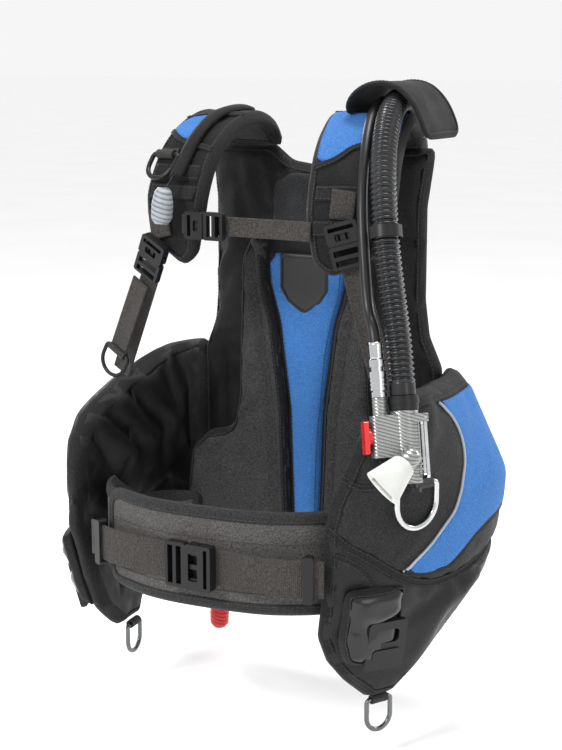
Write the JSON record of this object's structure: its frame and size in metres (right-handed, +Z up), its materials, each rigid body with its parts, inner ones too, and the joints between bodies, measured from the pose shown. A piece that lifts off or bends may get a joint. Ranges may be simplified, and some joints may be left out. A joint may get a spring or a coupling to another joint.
{
  "type": "buoyancy compensator vest",
  "caption": "Jacket-style scuba buoyancy vest with hip lobes, padded back and straps, waist and chest buckles, power inflator, dump valves and a tank band.",
  "frame": {"origin": "on the tank's axis, at the middle of the tank band's height", "axes": "+Z up along the tank and the wearer's spine, -Y the way the wearer faces, +X the wearer's left, where the inflator hangs"},
  "size_m": [0.4699, 0.4962, 0.6566],
  "materials": {
    "shell_nylon": "matte",
    "pad_mesh": "matte",
    "blue_nylon": "matte",
    "rubber_patch": "satin",
    "webbing": "matte",
    "pouch_vinyl": "gloss",
    "hose_rubber": "satin",
    "red_plastic": "satin",
    "grey_plastic": "matte",
    "silver_plastic": "satin",
    "plated_metal": "polished",
    "steel": "polished",
    "black_plastic": "satin"
  },
  "bodies": {
    "vest": {"back_cell": "shell_nylon", "back_pads": "pad_mesh", "backpack_plate": "black_plastic", "cam_buckle_body": "black_plastic", "chest_buckle_socket": "black_plastic", "chest_webbing": "webbing", "corrugated_hose": "hose_rubber", "coupling_body": "plated_metal", "cummerbund": "webbing", "dump_sleeve": "shell_nylon", "hose_clip": "black_plastic", "hose_collar": "black_plastic", "hose_elbow": "black_plastic", "hose_fitting": "plated_metal", "hose_flap": "shell_nylon", "inflator_body": "silver_plastic", "left_lobe": "shell_nylon", "left_shoulder_buckle_socket": "black_plastic", "left_shoulder_strap": "shell_nylon", "mouthpiece": "grey_plastic", "neck_patch": "rubber_patch", "plate_screws": "steel", "pressure_hose": "hose_rubber", "rear_dump_valve": "black_plastic", "right_lobe": "shell_nylon", "right_shoulder_buckle_socket": "black_plastic", "right_shoulder_strap": "shell_nylon", "ring_tabs": "webbing", "shoulder_webbing": "webbing", "spine_panel": "blue_nylon", "tank_band": "webbing", "waist_buckle_socket": "black_plastic", "waist_loops": "black_plastic", "waist_webbing": "webbing"},
    "waist_plug": {"waist_buckle_plug": "black_plastic", "waist_buckle_prongs": "black_plastic"},
    "chest_plug": {"chest_buckle_plug": "black_plastic", "chest_buckle_prongs": "black_plastic"},
    "left_shoulder_plug": {"left_shoulder_buckle_plug": "black_plastic", "left_shoulder_buckle_prongs": "black_plastic"},
    "right_shoulder_plug": {"right_shoulder_buckle_plug": "black_plastic", "right_shoulder_buckle_prongs": "black_plastic"},
    "left_weights": {"left_weight_pouch": "pouch_vinyl", "left_pouch_grip": "black_plastic"},
    "right_weights": {"right_weight_pouch": "pouch_vinyl", "right_pouch_grip": "black_plastic"},
    "inflate_button": {"inflate_button": "red_plastic"},
    "deflate_button": {"deflate_button": "black_plastic"},
    "coupling_sleeve": {"coupling_sleeve": "plated_metal"},
    "inflator_clip": {"inflator_clip": "plated_metal"},
    "chest_ring": {"chest_ring": "steel"},
    "shoulder_ring": {"shoulder_ring": "black_plastic"},
    "left_hem_ring": {"left_hem_ring": "steel"},
    "right_hem_ring": {"right_hem_ring": "steel"},
    "strap_pull_ring": {"strap_pull_ring": "black_plastic"},
    "cam_lever": {"cam_buckle_lever": "black_plastic"},
    "carry_handle": {"carry_handle": "black_plastic"},
    "dump_knob": {"dump_knob": "grey_plastic"},
    "rear_dump_knob": {"rear_dump_knob": "red_plastic"}
  },
  "joints": [
    {"name": "waist_unclip", "type": "slide", "parent": "vest", "child": "waist_plug", "axis": [-1, 0, 0], "range_m": [0, 0.03], "deforming": ["waist_buckle_prongs"]},
    {"name": "chest_unclip", "type": "slide", "parent": "vest", "child": "chest_plug", "axis": [1, 0, 0], "range_m": [0, 0.024], "deforming": ["chest_buckle_prongs"]},
    {"name": "left_shoulder_unclip", "type": "slide", "parent": "vest", "child": "left_shoulder_plug", "axis": [0.2862, -0.0001, -0.9582], "range_m": [0, 0.024], "deforming": ["left_shoulder_buckle_prongs"]},
    {"name": "right_shoulder_unclip", "type": "slide", "parent": "vest", "child": "right_shoulder_plug", "axis": [-0.4547, 0.2098, -0.8656], "range_m": [0, 0.024], "deforming": ["right_shoulder_buckle_prongs"]},
    {"name": "left_weight_release", "type": "slide", "parent": "vest", "child": "left_weights", "axis": [0.8202, -0.5384, -0.1933], "range_m": [0, 0.06]},
    {"name": "right_weight_release", "type": "slide", "parent": "vest", "child": "right_weights", "axis": [-0.879, -0.3938, -0.2688], "range_m": [0, 0.06]},
    {"name": "inflate_press", "type": "slide", "parent": "vest", "child": "inflate_button", "axis": [0.7941, 0.6067, 0.0345], "range_m": [0, 0.0025], "stiffness_N_per_m": 600, "springref_m": -0.002},
    {"name": "deflate_press", "type": "slide", "parent": "vest", "child": "deflate_button", "axis": [-0.1783, 0.1783, 0.9677], "range_m": [0, 0.0025], "stiffness_N_per_m": 600, "springref_m": -0.002},
    {"name": "coupling_release", "type": "slide", "parent": "vest", "child": "coupling_sleeve", "axis": [-0.1783, 0.1783, 0.9677], "range_m": [0, 0.004], "stiffness_N_per_m": 500, "springref_m": -0.003},
    {"name": "inflator_clip_swing", "type": "hinge", "parent": "vest", "child": "inflator_clip", "pos_m": [0.21922, -0.305, 0.10933], "axis": [0.581, -0.7747, 0.2497], "range_deg": [0, 40]},
    {"name": "chest_ring_swing", "type": "hinge", "parent": "vest", "child": "chest_ring", "pos_m": [0.20755, -0.29084, 0.038], "axis": [-0.4082, -0.9129, 0], "range_deg": [0, 45]},
    {"name": "shoulder_ring_swing", "type": "hinge", "parent": "vest", "child": "shoulder_ring", "pos_m": [-0.11287, -0.24415, 0.3454], "axis": [-0.9925, 0.1219, 0], "range_deg": [0, 70]},
    {"name": "left_hem_ring_swing", "type": "hinge", "parent": "vest", "child": "left_hem_ring", "pos_m": [0.16225, -0.27749, -0.1981], "axis": [0.4397, 0.8982, 0], "range_deg": [-60, 60]},
    {"name": "right_hem_ring_swing", "type": "hinge", "parent": "vest", "child": "right_hem_ring", "pos_m": [-0.16704, -0.2447, -0.18742], "axis": [0.1453, -0.9894, 0], "range_deg": [-60, 60]},
    {"name": "strap_pull_ring_swing", "type": "hinge", "parent": "vest", "child": "strap_pull_ring", "pos_m": [-0.1735, -0.25518, 0.12938], "axis": [0.8694, -0.1067, -0.4825], "range_deg": [-35, 35]},
    {"name": "cam_lever_open", "type": "hinge", "parent": "vest", "child": "cam_lever", "pos_m": [0.04308, 0.09914, 0], "axis": [0, 0, 1], "range_deg": [0, 100]},
    {"name": "handle_fold", "type": "hinge", "parent": "vest", "child": "carry_handle", "pos_m": [0, -0.0965, 0.248], "axis": [-1, 0, 0], "range_deg": [0, 85]},
    {"name": "shoulder_dump_pull", "type": "slide", "parent": "vest", "child": "dump_knob", "axis": [-0.09, -0.7327, -0.6746], "range_m": [0, 0.012], "stiffness_N_per_m": 250, "springref_m": -0.004},
    {"name": "rear_dump_pull", "type": "slide", "parent": "vest", "child": "rear_dump_knob", "axis": [-0.1168, -0.5643, -0.8173], "range_m": [0, 0.012], "stiffness_N_per_m": 250, "springref_m": -0.004}
  ]
}
